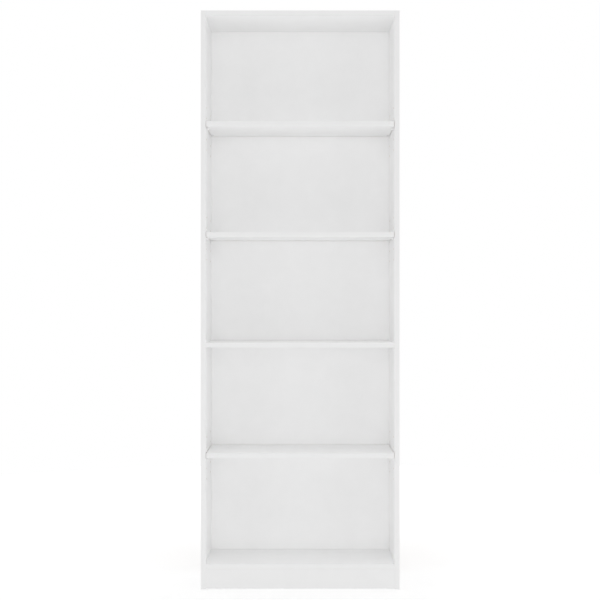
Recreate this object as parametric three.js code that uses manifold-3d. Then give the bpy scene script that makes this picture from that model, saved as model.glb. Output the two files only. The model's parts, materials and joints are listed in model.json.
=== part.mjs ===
// A free-standing bookcase of white melamine-faced chipboard. Two full-height sides stand on glides.
// Between them are a top panel, a bottom panel on a plinth board, and one fixed shelf, all drawn tight
// by cam locks. A hardboard back sits in grooves, and three more shelves lie on pins in rows of holes.
// Millimetres, +Z up, front at -Y, origin on the floor at the middle of the footprint.

import * as THREE from "three";
import { mergeVertices } from "three/addons/utils/BufferGeometryUtils.js";
import Module from "manifold-3d";

const wasm = await Module();
wasm.setup();

// Case
const caseWidth = 600;
const caseDepth = 240;
const caseHeight = 1750;
const boardThickness = 15;
const bayCount = 5;
const fixedShelf = 3; // shelves are numbered from the top
const plinthHeight = 59;
const plinthLift = 2.5; // the plinth stops this far above the lower ends of the sides
const shelfEndGap = 1; // at each end of a shelf that lies on pins

// Back
const backThickness = 3;
const grooveWidth = 3.4;
const grooveDepth = 6;
const grooveInset = 8; // from the rear edges
const backReach = 5.5; // of the back's edges into their grooves
const shelfRearGap = 1.3; // from a shelf to the back

// Rows of holes: the first is this far behind the front edge, and the cam bolts are in line with them
const rowInset = 37;
const rowSpacing = 160;
const holePitch = 32;
const holesPerRow = 5;
const holeRadius = 2.6;
const holeDepth = 10;
const fitGap = 0.3; // between pieces that slide on or turn against each other

// Shelf pin
const pinShankRadius = 2.45;
const pinShankLength = 9;
const pinTipRadius = 1.9;
const pinWidth = 8;
const pinReach = 9.5; // of its ledge into the case
const pinLedgeTop = 3; // above the axis of the shank
const pinLedgeThickness = 2;
const pinFlangeThickness = 1.4;
const pinFlangeBottom = -5;
const pinWebWidth = 2;

// Cam lock and its bolt
const camRadius = 7.4;
const camBoreRadius = 7.65;
const camHeight = 12;
const camSink = 0.1; // below the face that it is let into
const camBoreDepth = 12.4;
const camFromEnd = 34; // from the end of the panel to the axis of the cam
const camCavityRadius = 4.6;
const camCavityHeight = 7.4;
const camSlotWidth = 5;
const driveLength = 7;
const driveWidth = 1.7;
const driveDepth = 2.4;
const boltBoreRadius = 4;
const boltThreadRadius = 2.4;
const boltThreadLength = 10.5;
const boltHoleDepth = 11;
const boltCollarRadius = 3.5;
const boltCollarThickness = 1.6;
const boltShankRadius = 3;
const boltNeckRadius = 1.9;
const boltNeckStart = 26;
const boltHeadStart = 31.6;
const boltHeadRadius = 3.4;
const boltLength = 36.8; // from the side panel's face to the end of the head

// Dowel
const dowelRadius = 3.9;
const dowelBoreRadius = 4.1;
const dowelLength = 30;
const dowelInSide = 10;
const dowelChamfer = 1;
const dowelEndSpace = 0.5;
const plinthDowelInset = 15; // from the long edges of the plinth board

// Nail-on glide
const glideHeight = 2.5;
const glideRadius = 7;
const glideInset = 22; // from the front and rear edges
const nailRadius = 1.2;
const nailLength = 16;
const nailPoint = 3;
const nailBoreRadius = 1.5;

// Bracket that ties the top to a wall, and its screw
const bracketWidth = 40;
const bracketDepth = 30;
const bracketHeight = 20;
const bracketThickness = 2;
const bracketBend = 1.5; // inner radius
const bracketScrewInset = 12; // from the front end of its lower leg
const bracketHoleRadius = 2.2;
const wallHoleRadius = 2.8;
const screwRadius = 1.75;
const screwLength = 12;
const screwPoint = 3;
const screwHeadRadius = 3.6;
const screwHeadHeight = 2.2;
const screwBoreRadius = 2;
const screwBoreDepth = 11;

// Number of flats on round shapes
const smallRound = 10;
const mediumRound = 12;
const largeRound = 20;

// Positions that follow from the sizes above
const innerHalf = caseWidth / 2 - boardThickness;
const frontY = -caseDepth / 2;
const rearY = caseDepth / 2;
const grooveRearY = rearY - grooveInset;
const grooveFrontY = grooveRearY - grooveWidth;
const backCentreY = (grooveFrontY + grooveRearY) / 2;
const shelfRearY = backCentreY - backThickness / 2 - shelfRearGap;
const plinthBase = glideHeight + plinthLift;
const bottomBase = plinthBase + plinthHeight;
const bottomTop = bottomBase + boardThickness;
const topBase = caseHeight - boardThickness;
const bayHeight = (topBase - bottomTop - (bayCount - 1) * boardThickness) / bayCount;
const shelfBase = (number) => topBase - number * (bayHeight + boardThickness);
const pinAxisZ = (number) => shelfBase(number) - fitGap - pinLedgeTop;

const shelfNumbers = Array.from({ length: bayCount - 1 }, (_, i) => i + 1);
const looseShelves = shelfNumbers.filter((number) => number !== fixedShelf);
const sides = { left: -1, right: 1 };
const rows = { front: frontY + rowInset, rear: frontY + rowInset + rowSpacing };
const middleRowY = (rows.front + rows.rear) / 2;

const materials = {
  melamine: new THREE.MeshStandardMaterial({ color: 0xf1f1ef, roughness: 0.5, metalness: 0 }),
  hardboard: new THREE.MeshStandardMaterial({ color: 0xefefed, roughness: 0.55, metalness: 0 }),
  zinc: new THREE.MeshStandardMaterial({ color: 0xa9abad, roughness: 0.4, metalness: 0.9 }),
  steel: new THREE.MeshStandardMaterial({ color: 0xb9babc, roughness: 0.3, metalness: 1 }),
  beech: new THREE.MeshStandardMaterial({ color: 0xd2ab7a, roughness: 0.7, metalness: 0 }),
  pinPlastic: new THREE.MeshStandardMaterial({ color: 0xf0f0ee, roughness: 0.35, metalness: 0 }),
  glidePlastic: new THREE.MeshStandardMaterial({ color: 0xe9e9e6, roughness: 0.45, metalness: 0 }),
  coatedSteel: new THREE.MeshStandardMaterial({ color: 0xe8e8e6, roughness: 0.4, metalness: 0.1 }),
};

// Conversion between three.js geometry and solids that can be joined and cut

function solidFrom(geometry) {
  const bare = geometry.clone();
  bare.deleteAttribute("normal");
  bare.deleteAttribute("uv");
  const merged = mergeVertices(bare, 1e-4);
  return new wasm.Manifold(
    new wasm.Mesh({
      numProp: 3,
      vertProperties: new Float32Array(merged.attributes.position.array),
      triVerts: new Uint32Array(merged.index.array),
    }),
  );
}

function geometryFrom(solid) {
  const mesh = solid.getMesh();
  const geometry = new THREE.BufferGeometry();
  geometry.setAttribute("position", new THREE.BufferAttribute(mesh.vertProperties, 3));
  geometry.setIndex(new THREE.BufferAttribute(mesh.triVerts, 1));
  geometry.computeVertexNormals();
  return geometry;
}

// Basic shapes

function block(from, to) {
  const low = new THREE.Vector3(...from).min(new THREE.Vector3(...to));
  const high = new THREE.Vector3(...from).max(new THREE.Vector3(...to));
  const size = high.clone().sub(low);
  const middle = low.clone().add(high).divideScalar(2);
  const geometry = new THREE.BoxGeometry(size.x, size.y, size.z);
  return solidFrom(geometry.translate(middle.x, middle.y, middle.z));
}

// A shape turned about the X axis: the profile is a list of [distance along X, radius].
function turnedAlongX(profile, flats) {
  const points = profile.map(([along, radius]) => new THREE.Vector2(radius, along));
  return solidFrom(new THREE.LatheGeometry(points, flats).rotateZ(-Math.PI / 2));
}

// The same about the Z axis.
function turnedAlongZ(profile, flats) {
  const points = profile.map(([along, radius]) => new THREE.Vector2(radius, along));
  return solidFrom(new THREE.LatheGeometry(points, flats).rotateX(Math.PI / 2));
}

function rodAlongX(radius, fromX, toX, y, z, flats) {
  const [low, high] = [Math.min(fromX, toX), Math.max(fromX, toX)];
  const profile = [
    [low, 0],
    [low, radius],
    [high, radius],
    [high, 0],
  ];
  return turnedAlongX(profile, flats).translate([0, y, z]);
}

function rodAlongZ(radius, fromZ, toZ, x, y, flats) {
  const [low, high] = [Math.min(fromZ, toZ), Math.max(fromZ, toZ)];
  const profile = [
    [low, 0],
    [low, radius],
    [high, radius],
    [high, 0],
  ];
  return turnedAlongZ(profile, flats).translate([x, y, 0]);
}

// An outline in the XZ plane given depth along Y, centred on Y = 0.
function extrudedAlongY(shape, width) {
  const geometry = new THREE.ExtrudeGeometry(shape, { depth: width, bevelEnabled: false });
  return solidFrom(geometry.rotateX(Math.PI / 2).translate(0, width / 2, 0));
}

// An outline in the YZ plane given width along X, centred on X = 0.
function extrudedAlongX(shape, width) {
  const geometry = new THREE.ExtrudeGeometry(shape, {
    depth: width,
    bevelEnabled: false,
    curveSegments: 4,
  });
  geometry.rotateY(Math.PI / 2).rotateX(Math.PI / 2);
  return solidFrom(geometry.translate(-width / 2, 0, 0));
}

function cutAll(solid, cutters) {
  return cutters.reduce((left, cutter) => left.subtract(cutter), solid);
}

function named(name, solid, material) {
  const mesh = new THREE.Mesh(geometryFrom(solid), material);
  mesh.name = name;
  return mesh;
}

// Side panels. The inner face is at X = 0 and the board lies away from the middle of the case.

// Heights at which a horizontal panel is drawn against the sides by cam bolts
const boltedHeights = [
  topBase + boardThickness / 2,
  shelfBase(fixedShelf) + boardThickness / 2,
  bottomBase + boardThickness / 2,
];

// Places of the dowels between the sides and the other boards, as [name, Y, Z]
const dowelPlaces = [
  ["top", middleRowY, topBase + boardThickness / 2],
  ["bottom", middleRowY, bottomBase + boardThickness / 2],
  ["plinth_upper", frontY + boardThickness / 2, plinthBase + plinthHeight - plinthDowelInset],
  ["plinth_lower", frontY + boardThickness / 2, plinthBase + plinthDowelInset],
];

const glideRows = { front: frontY + glideInset, rear: rearY - glideInset };

function makeSidePanel(side) {
  const board = block([0, frontY, glideHeight], [side * boardThickness, rearY, caseHeight]);
  const groove = block(
    [-side, grooveFrontY, glideHeight - 1],
    [side * grooveDepth, grooveRearY, caseHeight + 1],
  );
  const hole = (radius, depth, y, z, flats) => rodAlongX(radius, -side, side * depth, y, z, flats);
  const cutters = [groove];
  for (const y of Object.values(rows)) {
    for (const number of looseShelves) {
      for (let i = 0; i < holesPerRow; i += 1) {
        const z = pinAxisZ(number) + (i - (holesPerRow - 1) / 2) * holePitch;
        cutters.push(hole(holeRadius, holeDepth, y, z, smallRound));
      }
    }
    for (const z of boltedHeights) {
      cutters.push(hole(holeRadius, boltHoleDepth, y, z, smallRound));
    }
  }
  for (const [, y, z] of dowelPlaces) {
    cutters.push(hole(dowelBoreRadius, dowelInSide + dowelEndSpace, y, z, mediumRound));
  }
  for (const y of Object.values(glideRows)) {
    const top = glideHeight + nailLength + 1;
    const x = (side * boardThickness) / 2;
    cutters.push(rodAlongZ(nailBoreRadius, glideHeight - 1, top, x, y, smallRound));
  }
  return cutAll(board, cutters);
}

// Horizontal panels, each about its own middle plane

function endBores(radius, depth, halfLength, y, z) {
  return Object.values(sides).map((side) =>
    rodAlongX(radius, side * (halfLength + 1), side * (halfLength - depth), y, z, mediumRound),
  );
}

// Bores for the cams in the face that camFace (+1 or -1) gives, and for their bolts in the ends
function camBores(camFace) {
  const half = boardThickness / 2;
  const cutters = [];
  for (const y of Object.values(rows)) {
    cutters.push(...endBores(boltBoreRadius, camFromEnd - camBoreRadius + 1, innerHalf, y, 0));
    for (const side of Object.values(sides)) {
      const x = side * (innerHalf - camFromEnd);
      const floor = camFace * (half - camBoreDepth);
      cutters.push(rodAlongZ(camBoreRadius, camFace * (half + 1), floor, x, y, largeRound));
    }
  }
  return cutters;
}

function backGroove(face) {
  const half = boardThickness / 2;
  return block(
    [-innerHalf - 1, grooveFrontY, face * (half + 1)],
    [innerHalf + 1, grooveRearY, face * (half - grooveDepth)],
  );
}

function makeLevelBoard(halfLength, rear) {
  const half = boardThickness / 2;
  return block([-halfLength, frontY, -half], [halfLength, rear, half]);
}

function makeTopPanel() {
  const half = boardThickness / 2;
  const screwY = rearY - bracketDepth + bracketScrewInset;
  const screwHole = rodAlongZ(screwBoreRadius, half + 1, half - screwBoreDepth, 0, screwY, smallRound);
  return cutAll(makeLevelBoard(innerHalf, rearY), [
    ...camBores(1),
    ...endBores(dowelBoreRadius, dowelLength - dowelInSide + dowelEndSpace, innerHalf, middleRowY, 0),
    backGroove(-1),
    screwHole,
  ]);
}

function makeBottomPanel() {
  return cutAll(makeLevelBoard(innerHalf, rearY), [
    ...camBores(-1),
    ...endBores(dowelBoreRadius, dowelLength - dowelInSide + dowelEndSpace, innerHalf, middleRowY, 0),
    backGroove(1),
  ]);
}

function makeFixedShelf() {
  return cutAll(makeLevelBoard(innerHalf, shelfRearY), camBores(-1));
}

function makeLooseShelf() {
  return makeLevelBoard(innerHalf - shelfEndGap, shelfRearY);
}

function makePlinth() {
  const half = plinthHeight / 2;
  const board = block(
    [-innerHalf, -boardThickness / 2, -half],
    [innerHalf, boardThickness / 2, half],
  );
  const depth = dowelLength - dowelInSide + dowelEndSpace;
  const cutters = [half - plinthDowelInset, plinthDowelInset - half].flatMap((z) =>
    endBores(dowelBoreRadius, depth, innerHalf, 0, z),
  );
  return cutAll(board, cutters);
}

function makeBack() {
  const halfWidth = innerHalf + backReach;
  const halfHeight = (topBase - bottomTop) / 2 + backReach;
  const half = backThickness / 2;
  return block([-halfWidth, -half, -halfHeight], [halfWidth, half, halfHeight]);
}

// Hardware. Each piece enters the left-hand side panel along -X, whose inner face is at X = 0.

function makePin() {
  const ledgeBottom = pinLedgeTop - pinLedgeThickness;
  const shank = turnedAlongX(
    [
      [-pinShankLength, 0],
      [-pinShankLength, pinTipRadius],
      [-pinShankLength + 1, pinShankRadius],
      [fitGap + pinFlangeThickness / 2, pinShankRadius],
      [fitGap + pinFlangeThickness / 2, 0],
    ],
    smallRound,
  );
  const angle = new THREE.Shape([
    new THREE.Vector2(fitGap, pinFlangeBottom),
    new THREE.Vector2(fitGap + pinFlangeThickness, pinFlangeBottom),
    new THREE.Vector2(fitGap + pinFlangeThickness, ledgeBottom),
    new THREE.Vector2(pinReach - 0.6, ledgeBottom),
    new THREE.Vector2(pinReach, ledgeBottom + 0.6),
    new THREE.Vector2(pinReach, pinLedgeTop),
    new THREE.Vector2(fitGap, pinLedgeTop),
  ]);
  const inside = fitGap + pinFlangeThickness / 2;
  const web = new THREE.Shape([
    new THREE.Vector2(inside, pinFlangeBottom + 0.6),
    new THREE.Vector2(fitGap + pinFlangeThickness + 0.8, pinFlangeBottom + 0.6),
    new THREE.Vector2(pinReach - 1.4, ledgeBottom),
    new THREE.Vector2(pinReach - 1.4, pinLedgeTop - pinLedgeThickness / 2),
    new THREE.Vector2(inside, pinLedgeTop - pinLedgeThickness / 2),
  ]);
  return extrudedAlongY(angle, pinWidth).add(extrudedAlongY(web, pinWebWidth)).add(shank);
}

function makeCamBolt() {
  const headMiddle = (boltHeadStart + boltLength) / 2;
  const profile = [
    [-boltThreadLength, 0],
    [-boltThreadLength, boltThreadRadius - 1],
    [-boltThreadLength + 1.5, boltThreadRadius],
    [fitGap, boltThreadRadius],
    [fitGap, boltCollarRadius],
    [fitGap + boltCollarThickness, boltCollarRadius],
    [fitGap + boltCollarThickness, boltShankRadius],
    [boltNeckStart - 1, boltShankRadius],
    [boltNeckStart, boltNeckRadius],
    [boltHeadStart, boltNeckRadius],
    [headMiddle - 0.8, boltHeadRadius],
    [headMiddle + 0.8, boltHeadRadius],
    [boltLength, boltNeckRadius],
    [boltLength, 0],
  ];
  return turnedAlongX(profile, smallRound);
}

// The cam's axis is Z, its screwdriver cross faces +Z, and the bolt enters along X at Z = 0.
function makeCam() {
  const top = boardThickness / 2 - camSink;
  const bottom = top - camHeight;
  const bevel = 0.5;
  const body = turnedAlongZ(
    [
      [bottom, 0],
      [bottom, camRadius - bevel],
      [bottom + bevel, camRadius],
      [top, camRadius],
      [top, 0],
    ],
    largeRound,
  );
  const cavity = rodAlongZ(camCavityRadius, -camCavityHeight / 2, camCavityHeight / 2, 0, 0, mediumRound);
  const halfSlot = camSlotWidth / 2;
  const slot = block([-camRadius - 1, -halfSlot, -halfSlot], [0, halfSlot, halfSlot]);
  const arms = [
    [driveLength / 2, driveWidth / 2],
    [driveWidth / 2, driveLength / 2],
  ].map(([x, y]) => block([-x, -y, top - driveDepth], [x, y, top + 1]));
  return cutAll(body, [cavity, slot, ...arms]);
}

function makeDowel() {
  const ends = [-dowelInSide, dowelLength - dowelInSide];
  return turnedAlongX(
    [
      [ends[0], 0],
      [ends[0], dowelRadius - dowelChamfer],
      [ends[0] + dowelChamfer, dowelRadius],
      [ends[1] - dowelChamfer, dowelRadius],
      [ends[1], dowelRadius - dowelChamfer],
      [ends[1], 0],
    ],
    mediumRound,
  );
}

function makeGlide() {
  const edge = 0.8;
  return turnedAlongZ(
    [
      [0, 0],
      [0, glideRadius - edge],
      [edge, glideRadius],
      [glideHeight, glideRadius],
      [glideHeight, nailRadius],
      [glideHeight + nailLength - nailPoint, nailRadius],
      [glideHeight + nailLength, 0],
    ],
    mediumRound,
  );
}

// The bracket's corner is at the rear edge of the top panel: Y = 0 is the wall, Z = 0 the panel.
function makeBracket() {
  const outer = bracketBend + bracketThickness;
  const shape = new THREE.Shape();
  shape.moveTo(-bracketDepth, 0);
  shape.lineTo(-outer, 0);
  shape.absarc(-outer, outer, outer, -Math.PI / 2, 0, false);
  shape.lineTo(0, bracketHeight);
  shape.lineTo(-bracketThickness, bracketHeight);
  shape.lineTo(-bracketThickness, outer);
  shape.absarc(-outer, outer, bracketBend, 0, -Math.PI / 2, true);
  shape.lineTo(-bracketDepth, bracketThickness);
  shape.closePath();
  const screwHole = rodAlongZ(
    bracketHoleRadius,
    -1,
    bracketThickness + 1,
    0,
    bracketScrewInset - bracketDepth,
    mediumRound,
  );
  const wallHoleZ = (outer + bracketHeight) / 2;
  const wallHole = rodAlongZ(wallHoleRadius, -bracketThickness - 1, 1, 0, 0, mediumRound)
    .rotate([-90, 0, 0])
    .translate([0, 0, wallHoleZ]);
  return cutAll(extrudedAlongX(shape, bracketWidth), [screwHole, wallHole]);
}

// Z = 0 is under the head.
function makeScrew() {
  const body = turnedAlongZ(
    [
      [-screwLength, 0],
      [-screwLength + screwPoint, screwRadius],
      [fitGap, screwRadius],
      [fitGap, screwHeadRadius],
      [fitGap + screwHeadHeight / 2, screwHeadRadius],
      [fitGap + screwHeadHeight, screwHeadRadius * 0.6],
      [fitGap + screwHeadHeight, 0],
    ],
    mediumRound,
  );
  const top = fitGap + screwHeadHeight;
  const arms = [
    [1.9, 0.4],
    [0.4, 1.9],
  ].map(([x, y]) => block([-x, -y, top - 1.4], [x, y, top + 1]));
  return cutAll(body, arms);
}

// Assembly

const bookcase = new THREE.Group();

function place(name, solid, material, x, y, z) {
  const mesh = named(name, solid, material);
  mesh.position.set(x, y, z);
  bookcase.add(mesh);
  return mesh;
}

// A group at one side's inner face, turned so that its +X points into the case
function atSide(side, y, z) {
  const group = new THREE.Group();
  group.position.set(side * innerHalf, y, z);
  group.rotation.z = side < 0 ? 0 : Math.PI;
  bookcase.add(group);
  return group;
}

for (const [sideName, side] of Object.entries(sides)) {
  const x = side * innerHalf;
  place(`side_panel_${sideName}`, makeSidePanel(side), materials.melamine, x, 0, 0);
}

const halfBoard = boardThickness / 2;
place("top_panel", makeTopPanel(), materials.melamine, 0, 0, topBase + halfBoard);
place("bottom_panel", makeBottomPanel(), materials.melamine, 0, 0, bottomBase + halfBoard);
place("plinth_board", makePlinth(), materials.melamine, 0, frontY + halfBoard, plinthBase + plinthHeight / 2);
place("back_panel", makeBack(), materials.hardboard, 0, backCentreY, (topBase + bottomTop) / 2);
for (const number of shelfNumbers) {
  const fixed = number === fixedShelf;
  const name = fixed ? `shelf_${number}_fixed` : `shelf_${number}`;
  const solid = fixed ? makeFixedShelf() : makeLooseShelf();
  place(name, solid, materials.melamine, 0, 0, shelfBase(number) + halfBoard);
}

const pin = makePin();
const camBolt = makeCamBolt();
const cam = makeCam();
const dowel = makeDowel();
const glide = makeGlide();

// Panels that cam locks hold, with the face that their cams are let into
const lockedPanels = [
  ["top", boltedHeights[0], 1],
  ["shelf", boltedHeights[1], -1],
  ["bottom", boltedHeights[2], -1],
];

for (const [sideName, side] of Object.entries(sides)) {
  for (const [rowName, y] of Object.entries(rows)) {
    for (const number of looseShelves) {
      const mesh = named(`shelf_pin_${number}_${sideName}_${rowName}`, pin, materials.pinPlastic);
      atSide(side, y, pinAxisZ(number)).add(mesh);
    }
    for (const [panelName, z, face] of lockedPanels) {
      const joint = atSide(side, y, z);
      joint.add(named(`cam_bolt_${panelName}_${sideName}_${rowName}`, camBolt, materials.steel));
      const lock = named(`cam_lock_${panelName}_${sideName}_${rowName}`, cam, materials.zinc);
      lock.position.x = camFromEnd;
      lock.rotation.x = face > 0 ? 0 : Math.PI;
      joint.add(lock);
    }
  }
  for (const [placeName, y, z] of dowelPlaces) {
    atSide(side, y, z).add(named(`dowel_${placeName}_${sideName}`, dowel, materials.beech));
  }
  for (const [rowName, y] of Object.entries(glideRows)) {
    const x = side * (innerHalf + halfBoard);
    place(`glide_${sideName}_${rowName}`, glide, materials.glidePlastic, x, y, 0);
  }
}

place("wall_bracket", makeBracket(), materials.coatedSteel, 0, rearY, caseHeight);
place(
  "bracket_screw",
  makeScrew(),
  materials.steel,
  0,
  rearY - bracketDepth + bracketScrewInset,
  caseHeight + bracketThickness,
);

export default bookcase;
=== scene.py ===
"""A white bookcase with adjustable shelves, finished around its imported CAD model.

Every CAD node gets a detailed piece in its place: faced chipboard with edge bands, a hardboard
back, die-cast cam locks, threaded bolts, fluted dowels, moulded pins, nailed glides and a bent
wall bracket. Metres, +Z up, front at -Y.
"""

import json
import math
from itertools import pairwise

import bmesh
import bpy
from mathutils import Matrix, Vector


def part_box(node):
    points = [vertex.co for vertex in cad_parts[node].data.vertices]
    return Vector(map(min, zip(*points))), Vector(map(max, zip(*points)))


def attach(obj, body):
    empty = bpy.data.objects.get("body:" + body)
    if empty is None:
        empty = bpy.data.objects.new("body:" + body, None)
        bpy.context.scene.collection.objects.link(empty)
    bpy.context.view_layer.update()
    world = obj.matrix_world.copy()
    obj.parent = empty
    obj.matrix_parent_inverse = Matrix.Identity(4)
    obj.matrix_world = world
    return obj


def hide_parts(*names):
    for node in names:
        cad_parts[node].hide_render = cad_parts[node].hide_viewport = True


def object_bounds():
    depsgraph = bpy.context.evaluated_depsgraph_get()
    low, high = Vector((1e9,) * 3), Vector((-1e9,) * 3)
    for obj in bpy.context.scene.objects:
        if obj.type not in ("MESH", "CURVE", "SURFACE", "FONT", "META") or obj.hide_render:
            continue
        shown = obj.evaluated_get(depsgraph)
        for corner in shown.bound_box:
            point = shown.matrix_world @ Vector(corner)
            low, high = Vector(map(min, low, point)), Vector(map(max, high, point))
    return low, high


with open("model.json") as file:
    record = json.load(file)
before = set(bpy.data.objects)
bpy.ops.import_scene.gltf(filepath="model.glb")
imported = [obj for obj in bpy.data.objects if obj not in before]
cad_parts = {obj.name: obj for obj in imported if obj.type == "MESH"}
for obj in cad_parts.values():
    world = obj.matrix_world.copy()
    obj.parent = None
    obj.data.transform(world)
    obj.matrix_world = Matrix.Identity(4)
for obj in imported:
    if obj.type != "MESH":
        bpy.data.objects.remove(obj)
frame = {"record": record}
cad_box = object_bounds()

MM = 0.001
X, Y, Z = 0, 1, 2

# Boards
BAND_THICKNESS = 0.8 * MM
BAND_RADIUS = 0.3 * MM
ARRIS = 0.12 * MM  # the small break along the boards' own edges
GROOVE_SPARE = 0.2 * MM  # in front of the back panel and behind it
GROOVE_END = 0.5 * MM  # past the edges of the back panel
OVERCUT = 1 * MM  # how far a cutter starts outside the board

# Holes
HOLE_FLARE = 0.2 * MM  # the countersunk rim that a drill leaves in the facing
DRILL_POINT = 0.35  # the height of the cone at a hole's end, as a share of the hole's radius
FLAT_DRILL_POINT = 0.1  # the same for a flat drill, whose small cone is as wide as it is high
PIN_HOLE_RADIUS = 2.6 * MM
PIN_HOLE_DEPTH = 10 * MM
PIN_HOLE_PITCH = 32 * MM
PIN_HOLES_EACH_WAY = 2  # above and below the one in use
BOLT_HOLE_DEPTH = 11 * MM
BOLT_BORE_RADIUS = 4 * MM
BOLT_BORE_DEPTH = 27.35 * MM
CAM_BORE_RADIUS = 7.65 * MM
CAM_BORE_DEPTH = 12.4 * MM
CAM_BORE_SEGMENTS = 48
DOWEL_BORE_RADIUS = 4.1 * MM
DOWEL_IN_SIDE = 10.5 * MM
DOWEL_IN_PANEL = 20.5 * MM
NAIL_BORE_RADIUS = 1.5 * MM
NAIL_BORE_DEPTH = 17 * MM
SCREW_BORE_RADIUS = 2 * MM
SCREW_BORE_DEPTH = 11 * MM

# Shelf pin
PIN_SHANK_LENGTH = 9 * MM
PIN_SHANK_RADIUS = 2.45 * MM
PIN_RIB_HEIGHT = 0.18 * MM
PIN_RIBS = 6
PIN_LEDGE_TOP = 3 * MM  # above the axis of the shank
PIN_LEDGE_THICKNESS = 2 * MM
PIN_FOOT = -5 * MM  # the lower end of its flange, from the same axis
PIN_CLEARANCE = 0.3 * MM  # between the flange and the side panel
PIN_FLANGE_THICKNESS = 1.4 * MM
PIN_REACH = 9.5 * MM
PIN_WIDTH = 8 * MM
PIN_WEB_WIDTH = 2 * MM
PIN_CORNER_RADII = (0, 0.7 * MM, 0.8 * MM, 0.9 * MM, 0.4 * MM, 0)  # in the outline's order
PIN_WEB_RISE = 0.8 * MM  # from the flange's foot to the web's
PIN_WEB_FOOT = 0.9 * MM  # how far its foot stands out from the flange
PIN_WEB_INSET = 1.2 * MM  # from the ledge's tip
PIN_WEB_CORNER_RADIUS = 0.4 * MM
PIN_EDGE_RADIUS = 0.25 * MM
PIN_WEB_EDGE_RADIUS = 0.15 * MM
PIN_TIP = 0.9 * MM
PIN_TIP_STEPS = ((0, 0.55 * MM), (0.2 * MM, 0.3 * MM), (PIN_TIP, 0))  # along it, and inwards
PIN_RIB_END = 0.4 * MM  # from the panel's face
PIN_SEGMENTS = 48

# Cam lock
CAM_RADIUS = 7.4 * MM
CAM_HEIGHT = 12 * MM
CAM_FACE = 7.4 * MM  # from the board's middle plane to the face with the cross
CAM_RIM = 0.5 * MM
CAM_DISH = 0.3 * MM
CAM_DISH_RIM = 1.1 * MM  # the width of the rim around the dish
CAM_ARROW_TAIL = (-4.2 * MM, 0.95 * MM)  # place along X and half a width
CAM_ARROW_POINT = (-5.7 * MM, 0.1 * MM)
CAM_CAVITY_RADIUS = 4.6 * MM
CAM_CAVITY_HEIGHT = 7.4 * MM
CAM_NECK_SLOT = 4.6 * MM
CAM_HEAD_ENTRY_RADIUS = 3.6 * MM
CAM_TURN = 110  # degrees that it has turned since the bolt's head went in
CAM_SLOT_SPARE = 18  # degrees of slot past the neck
CAM_SLOT_STEP = 7  # degrees
CAM_CROSS = 3.3 * MM
CAM_CROSS_DEPTH = 2.3 * MM
CAM_SEGMENTS = 64
CAM_CAVITY_SEGMENTS = 48
CAM_HEAD_ENTRY_SEGMENTS = 36

# Cam bolt
BOLT_THREAD_LENGTH = 10.5 * MM
BOLT_THREAD_RADIUS = 2.4 * MM
BOLT_THREAD_DEPTH = 0.75 * MM
BOLT_THREAD_PITCH = 2.4 * MM
BOLT_COLLAR_START = 0.3 * MM
BOLT_COLLAR_END = 1.9 * MM
BOLT_COLLAR_RADIUS = 3.5 * MM
BOLT_SHANK_RADIUS = 3 * MM
BOLT_NECK_START = 26 * MM
BOLT_NECK_RADIUS = 1.9 * MM
BOLT_HEAD_START = 31.6 * MM
BOLT_HEAD_RADIUS = 3.4 * MM
BOLT_LENGTH = 36.8 * MM  # from the side panel's face to the end of the head
BOLT_POINT = 1.2 * MM  # the length of its blunt point
BOLT_POINT_DROP = 1 * MM  # how much narrower the point ends
BOLT_COLLAR_EDGE = 0.2 * MM
BOLT_NECK_CONE = 1 * MM
BOLT_HEAD_STEPS = 12
BOLT_HEAD_FULLNESS = 0.6  # below 1 for a head rounder than an ellipse
BOLT_CROSS = 1.5 * MM
BOLT_SEGMENTS = 36

# Dowel
DOWEL_RADIUS = 3.9 * MM
DOWEL_FLUTES = 24
DOWEL_FLUTE_DEPTH = 0.2 * MM
DOWEL_CHAMFER = 1 * MM

# Glide
GLIDE_NAIL_RADIUS = 1.2 * MM
GLIDE_NAIL_HEAD_RADIUS = 2.4 * MM
GLIDE_NAIL_POINT = 3 * MM
GLIDE_RECESS = 0.9 * MM
GLIDE_NAIL_PLAY = 0.05 * MM
GLIDE_HEAD_PLAY = 0.3 * MM
GLIDE_DISH_SLOPE = 0.4 * MM  # how far the dish opens outwards
# The rounded rim of the pad: up from the floor, and in from the pad's side
GLIDE_RIM = ((0, 1.1 * MM), (0.1 * MM, 0.65 * MM), (0.35 * MM, 0.25 * MM), (0.8 * MM, 0))
GLIDE_TOP_EDGE = 0.2 * MM
# The nail's head: below its seat, and its radius as a share of the full one
GLIDE_NAIL_HEAD = ((0.6 * MM, 0.7), (0.4 * MM, 0.93), (0.15 * MM, 1), (0, 1))
GLIDE_RING_START = 2 * MM  # above the pad
GLIDE_RING_END = 1 * MM  # below the point
GLIDE_RING_STEP = 0.5 * MM
GLIDE_RING_DEPTH = 0.15 * MM
GLIDE_SEGMENTS = 48
GLIDE_NAIL_SEGMENTS = 24

# Wall bracket and its screw
BRACKET_THICKNESS = 2 * MM
BRACKET_BEND = 1.5 * MM  # inner radius
BRACKET_CORNER_RADIUS = 5 * MM
BRACKET_CORNER_STEPS = 8
BRACKET_BEND_STEPS = 10
BRACKET_HOLE_RADIUS = 2.2 * MM
BRACKET_WALL_HOLE_RADIUS = 2.8 * MM
BRACKET_EDGE_RADIUS = 0.25 * MM
BRACKET_HOLE_SEGMENTS = 40
SCREW_LENGTH = 12 * MM
SCREW_RADIUS = 1.75 * MM
SCREW_THREAD_DEPTH = 0.5 * MM
SCREW_THREAD_PITCH = 1.6 * MM
SCREW_POINT = 4 * MM
SCREW_HEAD_RADIUS = 3.6 * MM
SCREW_HEAD_LOW = 0.3 * MM
SCREW_HEAD_HIGH = 2.5 * MM
SCREW_HEAD_EDGE = 0.1 * MM
SCREW_HEAD_STEPS = 7
SCREW_DOME_START = 0.35  # of the head's height
SCREW_DOME_FLAT = 0.45  # of the head's radius
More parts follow.
